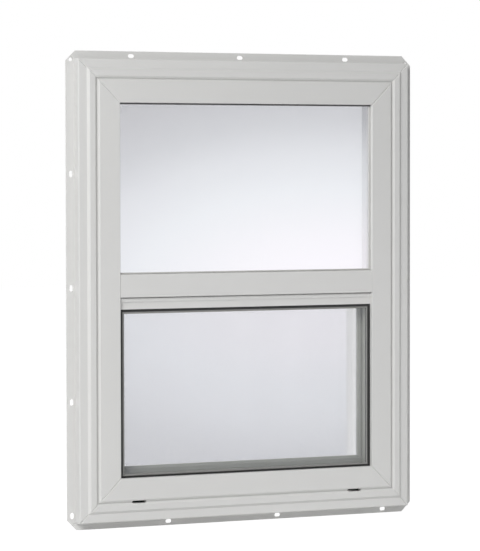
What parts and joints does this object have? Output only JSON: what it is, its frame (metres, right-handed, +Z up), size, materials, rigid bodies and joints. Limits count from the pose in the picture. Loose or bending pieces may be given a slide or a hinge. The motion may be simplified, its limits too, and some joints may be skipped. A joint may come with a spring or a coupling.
{
  "type": "single hung window",
  "caption": "White vinyl single hung window with a nailing fin, fixed upper glass, a lower sash behind an insect half-screen, mitred frame corners and weep slots in the sill.",
  "frame": {"origin": "on the back face of the nailing fin, in the middle of the sill fin", "axes": "+X to the right as seen from outside, +Y into the building, +Z up"},
  "size_m": [0.625, 0.0784, 0.774],
  "materials": {
    "white_vinyl": "smooth extruded white vinyl with a soft sheen",
    "glass": "clear insulating glass",
    "spacer_metal": "mill finish spacer bar",
    "screen_frame_black": "black roll-formed screen frame",
    "screen_mesh": "fine woven grey insect mesh",
    "pile_seal": "grey woven pile",
    "white_hardware": "white moulded hardware"
  },
  "bodies": {
    "root": {"frame_head": "white_vinyl", "frame_jamb_left": "white_vinyl", "frame_jamb_right": "white_vinyl", "frame_sill": "white_vinyl", "jamb_stop_left": "white_vinyl", "jamb_stop_right": "white_vinyl", "lock_keeper": "white_hardware", "meeting_rail": "white_vinyl", "meeting_rail_seal": "pile_seal", "sash_bead_bottom": "white_vinyl", "sash_bead_left": "white_vinyl", "sash_bead_right": "white_vinyl", "sash_bead_top": "white_vinyl", "sash_bottom_rail": "white_vinyl", "sash_glass_inner_pane": "glass", "sash_glass_outer_pane": "glass", "sash_glass_spacer": "spacer_metal", "sash_lock": "white_hardware", "sash_stile_left": "white_vinyl", "sash_stile_right": "white_vinyl", "sash_top_rail": "white_vinyl", "screen_frame_bottom": "screen_frame_black", "screen_frame_left": "screen_frame_black", "screen_frame_right": "screen_frame_black", "screen_frame_top": "screen_frame_black", "screen_mesh": "screen_mesh", "sill_riser": "white_vinyl", "sill_stop": "white_vinyl", "tilt_latch_left": "white_hardware", "tilt_latch_right": "white_hardware", "track_cover_left": "white_vinyl", "track_cover_right": "white_vinyl", "upper_bead_bottom": "white_vinyl", "upper_bead_left": "white_vinyl", "upper_bead_right": "white_vinyl", "upper_bead_top": "white_vinyl", "upper_glass_inner_pane": "glass", "upper_glass_outer_pane": "glass", "upper_glass_spacer": "spacer_metal"}
  },
  "joints": []
}
